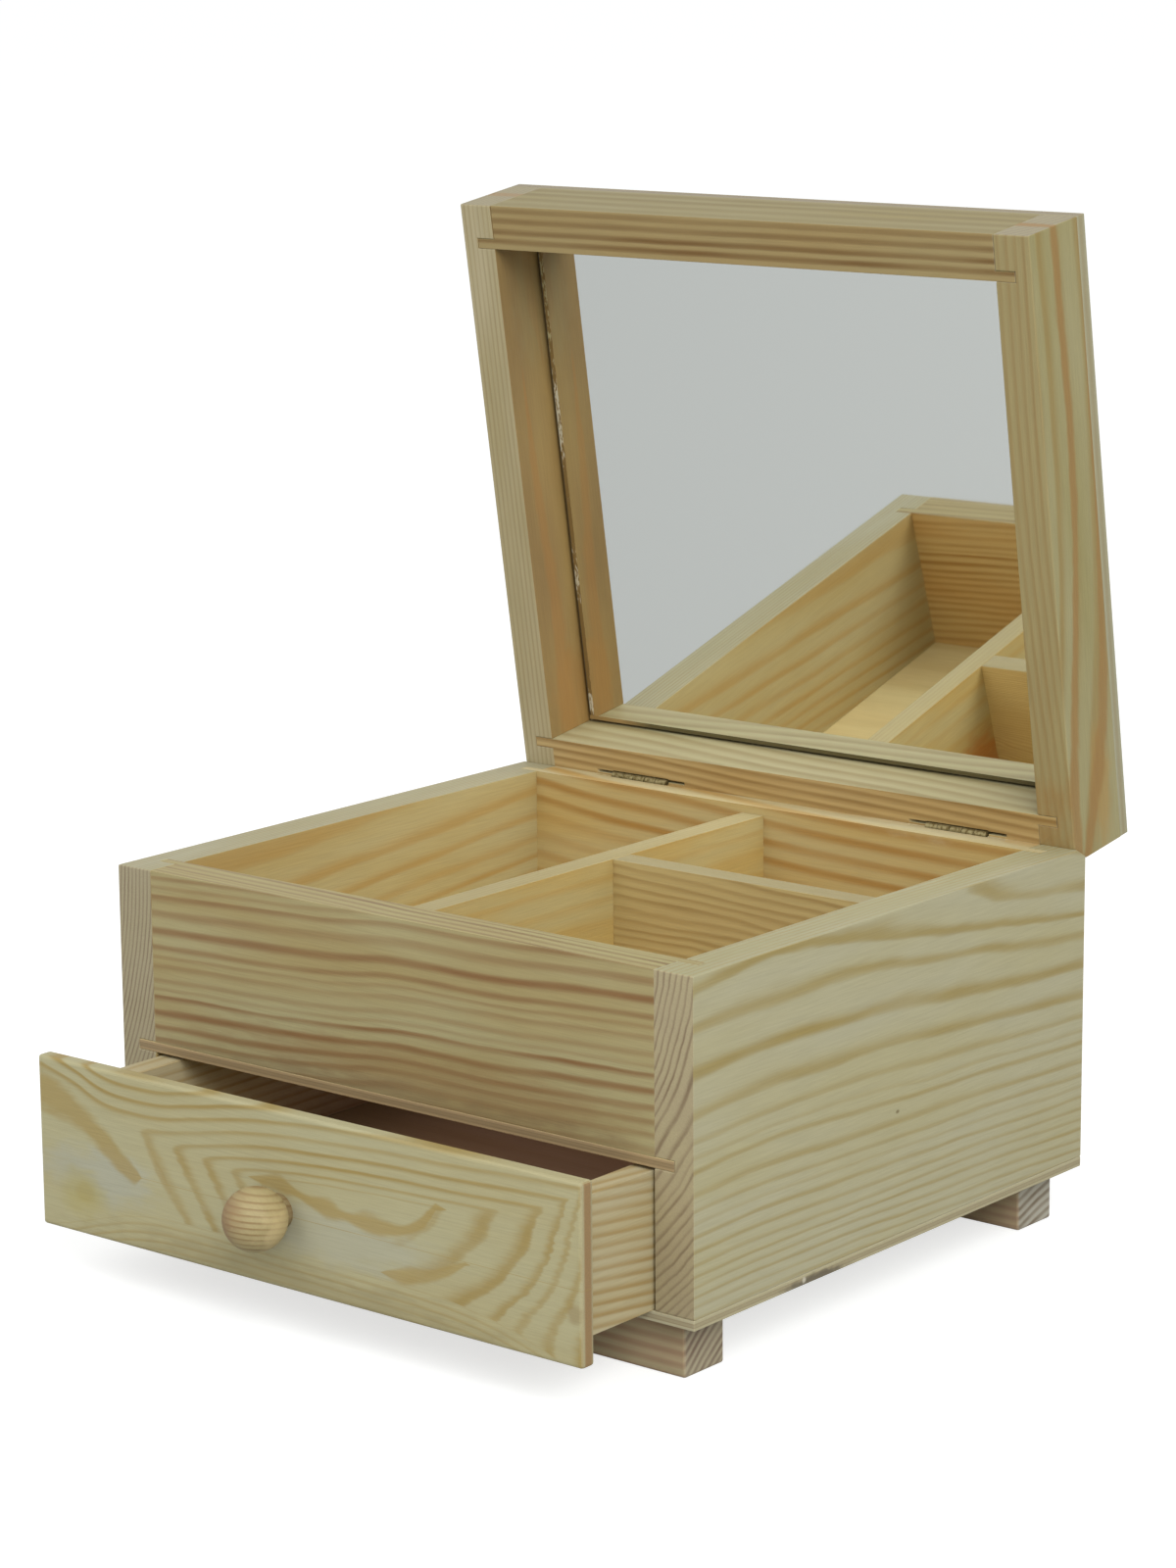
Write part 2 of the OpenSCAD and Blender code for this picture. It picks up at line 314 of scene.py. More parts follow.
def shut_box_place(tree, body):
    """The surface point in millimetres, on the shut box. The open lid is turned back down."""
    seat = Vector((0, FRONT_FACE, 0))
    turn = 0.0
    if body == "lid":
        pivot = Vector(HINGE["pos_m"])
        turn = LID_OPEN
        seat += pivot - Matrix.Rotation(turn, 3, "X") @ pivot
    place = add(tree, "TexCoord")
    size = 1 / MM
    return add(tree, "Mapping",
               (place.outputs["Object"], seat * size, (turn, 0, 0), (size, size, size)))


def towards(tree, body, side):
    """1 where the surface faces that side of the shut box, and 0 where it does not."""
    direction = Vector(SIDES[side])
    if body == "lid":
        direction = Matrix.Rotation(-LID_OPEN, 3, "X") @ direction
    place = add(tree, "TexCoord")
    square = add(tree, "VectorMath", (place.outputs["Normal"], direction), operation="DOT_PRODUCT")
    return add(tree, "MapRange", (square, FACING_AWAY, FACING, 0.0, 1.0),
               interpolation_type="SMOOTHSTEP")


def towards_ends(tree, timber):
    """1 on the two sawn ends of a board."""
    first, second = [towards(tree, timber.body, side) for side in END_NAMES[timber.grain]]
    return add(tree, "Math", (first, second), operation="ADD")


def along_grain(tree, timber, place, length, width, seed):
    """The place measured in units that are longer with the grain than over it."""
    steps = [1 / width] * 3
    steps[timber.grain] = 1 / length
    shift = [seed * step for step in SEED_SHIFT]
    return add(tree, "Mapping", (place, shift, (0, 0, 0), steps))


def cross_axes(timber):
    """The two axes across the grain: the level one and the upright one."""
    return ("Y", "Z") if timber.grain == X else ("X", "Z")


def swayed(tree, value, along, points):
    """A cross axis as it would be if the log had been straight."""
    if not points:
        return value
    sway = add(tree, "FloatCurve", (1.0, along))
    draw_curve(sway, points)
    return add(tree, "Math", (value, sway), operation="SUBTRACT")


def radius_of(timber, mark):
    """Distance from the heart to a dark line that was read off a ruler on the board."""
    direction, fixed = timber.ruler
    level, upright = (fixed, mark) if direction == "up" else (mark, fixed)
    return math.hypot(level - timber.heart[0], upright - timber.heart[1])


def heart_rings(tree, timber, place):
    """The dark summer wood of each year, as a line of 0 to 1 round the heart."""
    parts = add(tree, "SeparateXYZ", (place,))
    along = parts.outputs[timber.grain]
    level_name, upright_name = cross_axes(timber)
    level = swayed(tree, parts.outputs[level_name], along, timber.sway_across)
    upright = swayed(tree, parts.outputs[upright_name], along, timber.sway_up)
    point = add(tree, "CombineXYZ", (level, upright, 0.0))
    radius = add(tree, "VectorMath", (point, (*timber.heart, 0.0)), operation="DISTANCE")
    drawn = along_grain(tree, timber, place, *RING_BENDS)
    noise = add(tree, "TexNoise", {"Vector": drawn, "Scale": 1.0, "Detail": 3.5})
    bend = add(tree, "Math", (noise, 2 * timber.wander, radius), operation="MULTIPLY_ADD")
    radii = [radius_of(timber, mark) + timber.wander for mark in timber.rings]
    strengths = timber.strengths or (timber.strength,) * len(radii)
    order = sorted(zip(radii, strengths))
    count = add(tree, "FloatCurve", (1.0, bend))
    draw_curve(count, [(r, i + 0.5) for i, (r, _) in enumerate(order)], "VECTOR", "EXTRAPOLATED")
    power = add(tree, "FloatCurve", (1.0, bend))
    draw_curve(power, order)
    return summer_lines(tree, timber, place, count, power)


def summer_lines(tree, timber, place, count, power):
    """Turns a count of years into soft dark lines, sharper on the bark side, uneven in strength."""
    phase = add(tree, "Math", (count,), operation="FRACT")
    line = add(tree, "FloatCurve", (1.0, phase))
    shape = [(0.5 + step * timber.share, darkness) for step, darkness in LINE_SHAPE]
    draw_curve(line, [(0, 0), *shape, (1, 0)])
    year = add(tree, "Math", (count,), operation="FLOOR")
    luck = add(tree, "TexWhiteNoise", {"W": year}, noise_dimensions="1D")
    uneven = add(tree, "MapRange", (luck, 0.0, 1.0, *YEAR_LUCK))
    drawn = along_grain(tree, timber, place, *LINE_FADING)
    patchy = add(tree, "TexNoise", {"Vector": drawn, "Scale": 1.0, "Detail": 1.0})
    fading = add(tree, "MapRange", (patchy, *NOISE_SPREAD, *FADED_LINE))
    steady = add(tree, "Math", (uneven, fading), operation="MULTIPLY")
    drawn_line = add(tree, "Math", (line, steady), operation="MULTIPLY")
    return add(tree, "Math", (drawn_line, power), operation="MULTIPLY", use_clamp=True)


def plywood_rings(tree, timber, place):
    """Faint wide figure on the face of a sheet, three plies and their glue along its edges."""
    figure = heart_rings(tree, timber, place)
    low, high = timber.plies
    low_glue = low + (high - low) / 3
    high_glue = high - (high - low) / 3
    parts = add(tree, "SeparateXYZ", (place,))
    layers = add(tree, "FloatCurve", (1.0, parts.outputs["Z"]))
    draw_curve(layers, [(low, FACE_PLY),
                        (low_glue - GLUE_REACH, FACE_PLY_AT_GLUE),
                        (low_glue, GLUE),
                        (low_glue + GLUE_REACH, CORE_PLY),
                        (high_glue - GLUE_REACH, CORE_PLY),
                        (high_glue, GLUE),
                        (high_glue + GLUE_REACH, FACE_PLY_AT_GLUE),
                        (high, FACE_PLY)], "VECTOR")
    over = towards(tree, timber.body, "top")
    below = towards(tree, timber.body, "under")
    flat = add(tree, "Math", (over, below), operation="ADD")
    return add(tree, "Mix", (flat, layers, figure), data_type="FLOAT")


def spot(tree, place, mark):
    """Distance from the middle of an oval mark, 1 at its edge."""
    turn = [math.radians(angle) for angle in mark.turn]
    oval = add(tree, "Mapping", (place, mark.centre, turn, mark.reach), vector_type="TEXTURE")
    return add(tree, "VectorMath", (oval,), operation="LENGTH")


def band(tree, timber, place, mark):
    """Distance from the middle line of a streak, 1 at its edge."""
    parts = add(tree, "SeparateXYZ", (place,))
    along = parts.outputs[timber.grain]
    middle = add(tree, "FloatCurve", (1.0, along))
    draw_curve(middle, mark.path)
    half = add(tree, "FloatCurve", (1.0, along))
    draw_curve(half, mark.width)
    off = add(tree, "Math", (parts.outputs["Z"], middle), operation="SUBTRACT")
    size = add(tree, "Math", (off,), operation="ABSOLUTE")
    wide = add(tree, "Math", (half, THINNEST_STREAK), operation="MAXIMUM")
    return add(tree, "Math", (size, wide), operation="DIVIDE")


def stain_and_painted_light(tree, timber, place, colour, mark):
    """Lays one ragged mark over a colour: stains in the wood, and also painted shade and light."""
    if isinstance(mark, Mark):
        distance = spot(tree, place, mark)
    else:
        distance = band(tree, timber, place, mark)
    drawn = along_grain(tree, timber, place, *MARK_EDGES)
    ragged = add(tree, "TexNoise", {"Vector": drawn, "Scale": 1.0, "Detail": 4.0})
    edge = add(tree, "Math", (ragged, MARK_RAGGEDNESS, distance), operation="MULTIPLY_ADD")
    mask = add(tree, "MapRange", (edge, MARK_RIM, MARK_FULL, 0.0, mark.strength),
               interpolation_type="SMOOTHSTEP")
    return add(tree, "Mix", (mask, colour, linear(mark.colour)), data_type="RGBA")


def toned(tree, tone, warmth, line):
    """Spring wood between its two tones, crossed by summer wood."""
    spring = add(tree, "Mix", (warmth, linear(tone.early), linear(tone.warm)), data_type="RGBA")
    return add(tree, "Mix", (line, spring, linear(tone.late)), data_type="RGBA")


def pine(timber, rings=heart_rings):
    """Sanded raw pine: pale spring wood, narrow darker summer rings, a dull dry surface."""
    material = new_material("sanded_pine_" + timber.node)
    tree = material.node_tree
    place = shut_box_place(tree, timber.body)
    line = rings(tree, timber, place)

    # Spring wood drifts between two tones, in patches a hand's breadth long
    broad = along_grain(tree, timber, place, *BROAD_TONES)
    patches = add(tree, "TexNoise", {"Vector": broad, "Scale": 1.0, "Detail": 2.0})
    warmth = add(tree, "MapRange", (patches, *TONE_SPREAD, 0.0, 1.0))
    bare = toned(tree, timber.tone, warmth, line)
    # Some faces take tones of their own; the inner faces of the tray are painted lighter and warmer, with
    # light bounced inside it
    for side, tone in timber.sides:
        mask = towards(tree, timber.body, side)
        bare = add(tree, "Mix", (mask, bare, toned(tree, tone, warmth, line)), data_type="RGBA")

    # Sawn ends drink the light and show each year as a fine grey-brown line
    end_tone = toned(tree, timber.ends, warmth, line)
    bare = add(tree, "Mix", (towards_ends(tree, timber), bare, end_tone), data_type="RGBA")
    # Stains in the wood, and marks of painted shade and light such as those on the knob
    for mark in timber.marks:
        bare = stain_and_painted_light(tree, timber, place, bare, mark)

    # Fibres are about 0.05 mm thick: drawn ten times as coarse, so that they show
    fibre_place = along_grain(tree, timber, place, *FIBRES)
    fibres = add(tree, "TexNoise", {"Vector": fibre_place, "Scale": 1.0, "Detail": 3.0})
    grey = add(tree, "MapRange", (fibres, *FIBRE_SPREAD, *FIBRE_SHADES))
    shade = add(tree, "CombineColor", (grey, grey, grey))
    colour = add(tree, "Mix", (1.0, bare, shade), data_type="RGBA", blend_type="MULTIPLY")

    # Hard summer wood stands a little proud, and is smoother than the dry spring wood
    dullness = add(tree, "MapRange", (line, 0.0, 1.0, SPRING_ROUGHNESS, SUMMER_ROUGHNESS))
    relief = add(tree, "Math", (line, SUMMER_RELIEF, fibres), operation="MULTIPLY_ADD")
    bump = add(tree, "Bump", {"Strength": RELIEF_STRENGTH, "Distance": RELIEF_HEIGHT, "Height": relief})
    surface = add(tree, "BsdfPrincipled", {"Base Color": colour, "Roughness": dullness, "IOR": 1.5,
                                           "Normal": bump})
    add(tree, "OutputMaterial", (surface,))
    return material


BOX_TIMBERS = [
    # Flat face with a heart above the board: wide rings at the rim, close ones at the foot
    Timber("right_side", "box", Y, heart=(5, 124), ruler=("up", 105),
           rings=(108.5, 98.5, 86.5, 75.5, 68, 63, 59.5, 53, 48.5, 45, 41.5, 37.5, 34, 31, 28, 25, 22, 19),
           strengths=(1, 1, 0.95, 0.85, 0.8, 0.4, 0.7, 0.75, 0.7, 0.4, 0.7, 0.75, 0.7, 0.7, 0.6, 0.7,
                      0.6, 0.6),
           sway_across=((0, 0), (30, -0.5), (60, -0.2), (90, 0.3), (110, 1), (130, 1.6), (160, 2.7),
                        (186, 3.5)),
           share=0.32, wander=1.2, tone=Tone("#aba586", "#aaa27c", "#968349"),
           ends=Tone("#a49676", "#a99c79", "#7a674d"),
           sides=(("top", Tone("#a5a082", "#9e9974", "#9a8858")),
                  # The inner face: painted lighter and warmer, light bounced inside the tray
                  ("left", Tone("#bcae7d", "#bba66e", "#a8894f"))),
           marks=(Mark((105, 92, 54.7), (2, 1, 0.7), "#6f6038"),)),
    # Nearly upright rings: fine lines on the rim and the ends, slow bands on the inner face
    Timber("left_side", "box", Y, heart=(-248, 116), ruler=("across", 100),
           rings=spaced(-106, 1.5, 12), strength=0.75, wander=0.45, sway_up=((0, 0), (186, 15)),
           tone=Tone("#aba586", "#a8a07a", "#a08a57"), ends=Tone("#a2977a", "#9f9475", "#6d5841"),
           sides=(("top", Tone("#a39f84", "#9c9674", "#917844")),
                  # The inner face: painted lighter and warmer, light bounced inside the tray
                  ("right", Tone("#afa275", "#ac9964", "#a68444")))),
    Timber("front_board", "box", X, heart=(128, 11), ruler=("up", 0),
           rings=(110.5, 107.7, 105, 100.3, 95, 90, 87.5, 84.7, 80, 77.5, 75.3, 70.5, 66, 62.5),
           strengths=(0.6, 0.5, 0.9, 0.6, 1, 0.7, 0.4, 0.4, 0.5, 0.4, 1, 1, 1, 0.7),
           sway_up=((-92, 0), (-60, 1.4), (-40, 2.3), (-20, 3.6), (0, 5.8), (40, 6.6), (60, 7.8),
                    (92, 9)),
           share=0.46, wander=0.8, tone=Tone("#a59b71", "#9d8c5c", "#7d582e"),
           sides=(("top", Tone("#a29769", "#9a895b", "#70552c")),
                  # The inner face: painted lighter and more orange, light bounced inside the tray
                  ("back", Tone("#c8a86a", "#c49a58", "#9d6f31"))),
           marks=(Mark((10, 0, 69), (110, 16, 9), "#8d7149", 0.4),
                  Mark((0, 0, 60), (140, 16, 8), "#7c6848", 0.45))),
    Timber("rear_board", "box", X, heart=(130, 20), ruler=("up", 172.5),
           rings=(121, 115.5, 109.5, 104, 98.5, 92, 86, 80, 74, 68),
           strengths=(1, 1, 1, 1, 0.5, 0.5, 0.6, 0.7, 0.7, 0.7),
           sway_up=((-90, 0), (-65, -2.8), (-40, -4.2), (-30, -5), (5, -8), (30, -9.3), (60, -10),
                    (92, -10.5)),
           share=0.46, tone=Tone("#aba17c", "#a89a70", "#937347"),
           # The inner face: painted lighter and warmer, light bounced inside the tray
           sides=(("front", Tone("#b29f6d", "#b4995b", "#9d773a")),
                  ("top", Tone("#bdb088", "#b7a97d", "#af8e52"))),
           marks=(Mark((56, 181, 112.5), (44, 10, 5), "#c6bf9c", 0.55),)),
    # The dividers stand wholly inside the tray: their faces are the pine's own colour, painted lighter and
    # warmer with light bounced inside it
    Timber("long_divider", "box", Y, heart=(-150, 62), ruler=("across", 110.1),
           rings=spaced(-12, 1.7, 9), strength=0.5, tone=Tone("#b6a672", "#ba9b52", "#b3914b"),
           sides=(("top", Tone("#a1956b", "#9f9061", "#8f7849")),),
           # Orange patches low on both faces, beside the cross divider: the wood's own orange, with painted
           # warm light where the cross divider shades them
           marks=(Mark((-2, 86, 68), (3, 32, 19), "#bb8434", 0.65),
                  Mark((-2, 116, 76), (3, 20, 17), "#b87432", 0.75),
                  Mark((-2, 160, 72), (3, 20, 20), "#bb8434", 0.6))),
    # Its front face, too, is painted lighter and warmer with light bounced inside the tray
    Timber("cross_divider", "box", X, heart=(300, 60), ruler=("up", 99.5), rings=spaced(62, 2.9, 18),
           strength=0.8, share=0.42, wander=0.7, sway_up=((0, 0), (92, -4)),
           tone=Tone("#b3a06a", "#af9964", "#917744"),
           sides=(("top", Tone("#9e936d", "#9b8f66", "#8d7d52")),
                  # Its back face is painted lighter still: painted light where it stands in shade
                  ("back", Tone("#c8ae70", "#c0a465", "#a98a4f")))),
    Timber("front_foot", "box", X, heart=(78.6, -69.5), ruler=("up", 5), rings=spaced(-17, 3.4, 10),
           share=0.55, tone=Tone("#ac9e7b", "#b59e7c", "#9c7d60"),
           ends=Tone("#aca286", "#9c8e75", "#74604c")),
    Timber("rear_foot", "box", X, heart=(216, -127), ruler=("up", 164), rings=spaced(-2, 2.84, 7),
           share=0.5, tone=Tone("#aa9c7a", "#b59e7c", "#a88c70"),
           ends=Tone("#b7b2a2", "#aba594", "#796a54")),
]

LID_TIMBERS = [
    Timber("lid_front_rail", "lid", X, heart=(-160, 40), ruler=("across", 112.7),
           rings=(1.5, 4.6, 8.1, 10.8, 14.5), strengths=(0.6, 1, 1, 1, 0.6), share=0.55, wander=0.7,
           tone=Tone("#9b895c", "#9a8251", "#6e5021"),
           sides=(("front", Tone("#928862", "#8f8255", "#7b6c3b")),)),
    Timber("lid_left_rail", "lid", Y, heart=(-242, 120), ruler=("across", 112.7),
           rings=spaced(-106, 1.8, 9), strength=0.6, wander=0.3, tone=Tone("#b0a483", "#a3966f", "#8a774b"),
           sides=(("right", Tone("#97804d", "#836a40", "#9b7941")),),
           marks=(Streak(((60, 119), (100, 120), (130, 122), (165, 122)),
                         ((50, 0), (80, 2), (120, 3.5), (165, 5)), "#9c6c32", 0.4),
                  Streak(((14, 127), (30, 127), (50, 129)), ((14, 3), (30, 3), (55, 0)), "#9c6c32", 0.35),
                  Mark((-91.5, 162, 126), (3, 24, 13), "#9c7238", 0.45),
                  Mark((-91.5, 34, 128), (3, 28, 13), "#8e8158", 0.4))),
    Timber("lid_right_rail", "lid", Y, heart=(16, 152), ruler=("up", 104),
           rings=(136.8, 125.5, 117.6, 111), strength=0.8, share=0.4,
           sway_up=((0, 0), (50, 0.8), (90, -0.5), (110, -2.5), (130, -5), (150, -8.5), (165, -11.3),
                    (186, -16)),
           tone=Tone("#9d9063", "#98895d", "#8f784a"),
           sides=(("right", Tone("#9d946b", "#958b5b", "#8f753a")),),
           marks=(Mark((104, 168, 129), (6, 24, 7), "#a5803f", 0.55),
                  Streak(((0, 125), (30, 125.5), (50, 126.3), (90, 124.8), (110, 122.5), (130, 119.5),
                          (150, 117), (165, 115)),
                         ((0, 2.4), (60, 2.4), (100, 2.2), (130, 2.4), (150, 3.2), (165, 3.2)),
                         "#94703a", 0.75),
                  Streak(((20, 137.5), (60, 137.2), (90, 137), (110, 135.8), (130, 134.6), (150, 131.5),
                          (165, 127), (180, 121.5), (190, 117)),
                         ((20, 0.7), (60, 1.2), (90, 1.5), (110, 2.2), (130, 2.8), (150, 3.8), (165, 4.4),
                          (180, 3)), "#94703a", 0.75))),
    Timber("lid_rear_rail", "lid", X, heart=(330, 40), ruler=("up", 172.5),
           rings=(137, 131, 125, 118.5, 112.5), strength=0.8, share=0.45,
           sway_up=((-92, 0), (-60, -2), (-40, -4.5), (-10, -8), (20, -9.5), (40, -10.5), (92, -15)),
           tone=Tone("#b79e6b", "#b0945e", "#7f5e29"),
           sides=(("front", Tone("#aca27b", "#a89f76", "#8a794b")),)),
]

DRAWER_TONE = Tone("#b2a683", "#b0a27a", "#9a7f49")
DRAWER_TIMBERS = [
    Timber("drawer_left_side", "drawer", Y, heart=(60, 300), ruler=("up", -91),
           rings=spaced(19, 3.1, 13), strength=0.8, tone=DRAWER_TONE),
    Timber("drawer_right_side", "drawer", Y, heart=(-60, 300), ruler=("up", 91),
           rings=spaced(19, 3.1, 13), strength=0.9, share=0.42, sway_up=((-34, 0), (0, -4)),
           tone=DRAWER_TONE),
    Timber("drawer_back", "drawer", X, heart=(300, -60), ruler=("up", 120),
           rings=spaced(19, 4.2, 10), strength=0.8, tone=DRAWER_TONE),
    Timber("drawer_inner_front", "drawer", X, heart=(-300, -60), ruler=("up", -34.5),
           rings=spaced(19, 3.6, 12), strength=0.8, tone=DRAWER_TONE),
    Timber("knob", "drawer", X, heart=(-90, -200), ruler=("up", -55), rings=spaced(26, 1.65, 16),
           strength=0.8, tone=Tone("#a5966c", "#a19162", "#7f6439"),
           ends=Tone("#a5966c", "#a19162", "#7f6439"),
           # Dark brown round the neck: painted shade where the ball meets the drawer front
           marks=(Mark((-6.5, -40.5, 37.5), (10, 3.6, 10), "#66502f", 0.9),
                  # Darker and redder on the left of the ball: the wood's own tone, with painted shade on
                  # the side away from the key lamp
                  Mark((-13.5, -57, 40), (12.5, 12, 12.5), "#8a6b48", 0.7),
                  # Paler on the right of the ball: painted light on the side towards the key lamp
                  Mark((1, -47, 35), (9, 9, 10), "#c9b586", 0.6))),
]

SHEETS = [
    Timber("tray_floor", "box", X, heart=(-400, 60), ruler=("across", 61.5), rings=spaced(0, 15, 13),
           strength=0.3, wander=3.0, plies=(58.5, 61.5), tone=Tone("#a68e68", "#a38a65", "#7c6a4b"),
           ends=Tone("#9a8565", "#988262", "#75654b"),
           # The top of the floor, inside the tray: a paler face ply, painted much lighter with light
           # bounced inside the tray
           sides=(("top", Tone("#ddcc94", "#d7c086", "#c0a46a")),)),
    Timber("bottom_panel", "box", X, heart=(-400, 16), ruler=("across", 16), rings=spaced(0, 15, 13),
           strength=0.3, wander=3.0, plies=(16, 19), tone=Tone("#c1bb9f", "#bab292", "#958566"),
           ends=Tone("#b4ab89", "#b1a886", "#908261"),
           marks=(Mark((105, 54, 16.4), (2, 19, 2.2), "#5a5140", 0.85),
                  Mark((105, 48.5, 17.4), (2, 1.2, 1.2), "#c4bda8", 0.85))),
    Timber("lid_panel", "lid", Y, heart=(-400, 141), ruler=("across", 141), rings=spaced(-105, 15, 15),
           strength=0.5, wander=3.0, plies=(137.2, 141.2), tone=Tone("#a3a085", "#a39b78", "#948560")),
    Timber("drawer_bottom", "drawer", X, heart=(-400, 26), ruler=("across", 26), rings=spaced(-35, 15, 12),
           strength=0.3, wander=3.0, plies=(23, 26), tone=Tone("#b0a47c", "#ab9d70", "#9c8c60")),
]


# The drawer front's figure, read off its face: x across and z up, in millimetres.
# The lowest arch, and how far above it each later year lies
ARCH = ((-98, 47.4), (-85, 44), (-75, 40.4), (-62, 39.2), (-52, 39.4), (-40, 41.3), (-20, 45), (0, 47.4),
        (30, 49.3), (60, 50.4), (98, 52.3))
ARCH_STEPS = ((0, 0), (2.2, 1), (5.2, 2), (8.6, 3), (12.3, 4), (16.1, 5))

# The legs on the right bow, lean and fan out below a height, those on the left stand even and few
RIGHT_LEGS = ((50, 0), (67, 1), (82, 2), (90, 3), (95, 4), (101, 5))
RIGHT_LEGS_HEIGHT = 50
RIGHT_LEGS_BOW = ((-15, -10), (-10, -6), (-5, -3), (0, 0), (5, 2), (9, 5.6), (14, 10.5), (18, 15.5),
                  (22, 23), (28, 31))
RIGHT_LEGS_LEAN = 2.9
RIGHT_LEGS_FAN = 0.0247
LEFT_LEGS_STEP = 10.4
LEFT_LEGS_LEAN = 0.7
LEFT_LEGS_START = 19.4
LAST_LEFT_LEG = 4.5
LEFT_CORNER_ROUND = 1.0
RIGHT_CORNER_ROUND = 0.25
RAGGED_LEGS = 3.2
FIRST_LEG_FADE = (36, 30)
FIRST_YEAR_STARTS = (0.3, 0.75)

# Close faint lines at the foot, and the brown core of the sawn ends, from front to back
LOW_EDGE = ((-99, 16), (-85, 19.5), (-75, 22.5), (-65, 25), (-45, 27), (10, 26.5), (60, 24.5), (80, 20.5),
            (99, 14))
LOW_STEP = 2.3
LOW_PALENESS = 0.35
CORE = ((-39.5, 0), (-38.7, 0.1), (-38.1, 1), (-36, 1), (-35.3, 0.1), (-34.5, 0))


def cathedral_rings(tree, timber, place):
    """The drawer front's figure: long arches over two leaning legs, with close lines below."""
    drawn = along_grain(tree, timber, place, *DRAWER_BENDS)
    noise = add(tree, "TexNoise", {"Vector": drawn, "Scale": 1.0, "Detail": 2.0})
    parts = add(tree, "SeparateXYZ", (place,))
    across = parts.outputs["X"]
    frayed = along_grain(tree, timber, place, *DRAWER_TEARS)
    torn = add(tree, "TexNoise", {"Vector": frayed, "Scale": 1.0, "Detail": 3.0})
    ragged = add(tree, "Math", (torn, RAGGED_LEGS, across), operation="MULTIPLY_ADD")
    leg_place = add(tree, "Math", (ragged, 0.5 * RAGGED_LEGS), operation="SUBTRACT")
    upright = add(tree, "Math", (noise, 2 * timber.wander, parts.outputs["Z"]), operation="MULTIPLY_ADD")

    arch = add(tree, "FloatCurve", (1.0, across))
    draw_curve(arch, ARCH)
    over = add(tree, "Math", (upright, arch), operation="SUBTRACT")
    top = add(tree, "FloatCurve", (1.0, over))
    draw_curve(top, ARCH_STEPS, "VECTOR", "EXTRAPOLATED")

    below = add(tree, "Math", (RIGHT_LEGS_HEIGHT, upright), operation="SUBTRACT")
    bowed = add(tree, "FloatCurve", (1.0, below))
    draw_curve(bowed, RIGHT_LEGS_BOW)
    leant = add(tree, "Math", (bowed, RIGHT_LEGS_LEAN, leg_place), operation="MULTIPLY_ADD")
    fan = add(tree, "Math", (bowed, RIGHT_LEGS_FAN, 1.0), operation="MULTIPLY_ADD")
    fanned = add(tree, "Math", (leant, fan), operation="DIVIDE")
    right = add(tree, "FloatCurve", (1.0, fanned))
    draw_curve(right, RIGHT_LEGS, "VECTOR", "EXTRAPOLATED")

    tilted = add(tree, "Math", (upright, -LEFT_LEGS_LEAN, LEFT_LEGS_START), operation="MULTIPLY_ADD")
    from_left = add(tree, "Math", (tilted, leg_place), operation="SUBTRACT")
    left = add(tree, "Math", (from_left, LEFT_LEGS_STEP), operation="DIVIDE")
    few = add(tree, "Math", (left, LAST_LEFT_LEG), operation="MINIMUM")
    sharp = add(tree, "Math", (top, right, RIGHT_CORNER_ROUND), operation="SMOOTH_MAX")
    bell = add(tree, "Math", (sharp, few, LEFT_CORNER_ROUND), operation="SMOOTH_MAX")

    edge = add(tree, "FloatCurve", (1.0, across))
    draw_curve(edge, LOW_EDGE)
    under = add(tree, "Math", (edge, upright), operation="SUBTRACT")
    base = add(tree, "Math", (under, LOW_STEP), operation="DIVIDE")
    low = add(tree, "Math", (under, 0.0), operation="GREATER_THAN")
    years = add(tree, "Mix", (low, bell, base), data_type="FLOAT")
    count = add(tree, "Math", (years, 0.5), operation="ADD")

    # The first leg stops half way down, and the close lines at the foot are faint
    short = add(tree, "MapRange", (upright, *FIRST_LEG_FADE, 0.0, 1.0))
    kept = add(tree, "Mix", (low, short, 0.0), data_type="FLOAT")
    grown = add(tree, "Math", (count, kept), operation="SUBTRACT")
    power = add(tree, "MapRange", (grown, *FIRST_YEAR_STARTS, 0.0, 1.0), interpolation_type="SMOOTHSTEP")
    faint = add(tree, "Math", (low, -LOW_PALENESS, power), operation="MULTIPLY_ADD")
    figure = summer_lines(tree, timber, place, count, faint)

    # The sawn ends show the brown core of the board between two pale edges
    core = add(tree, "FloatCurve", (1.0, parts.outputs["Y"]))
    draw_curve(core, CORE, "VECTOR")
    return add(tree, "Mix", (towards_ends(tree, timber), figure, core), data_type="FLOAT")


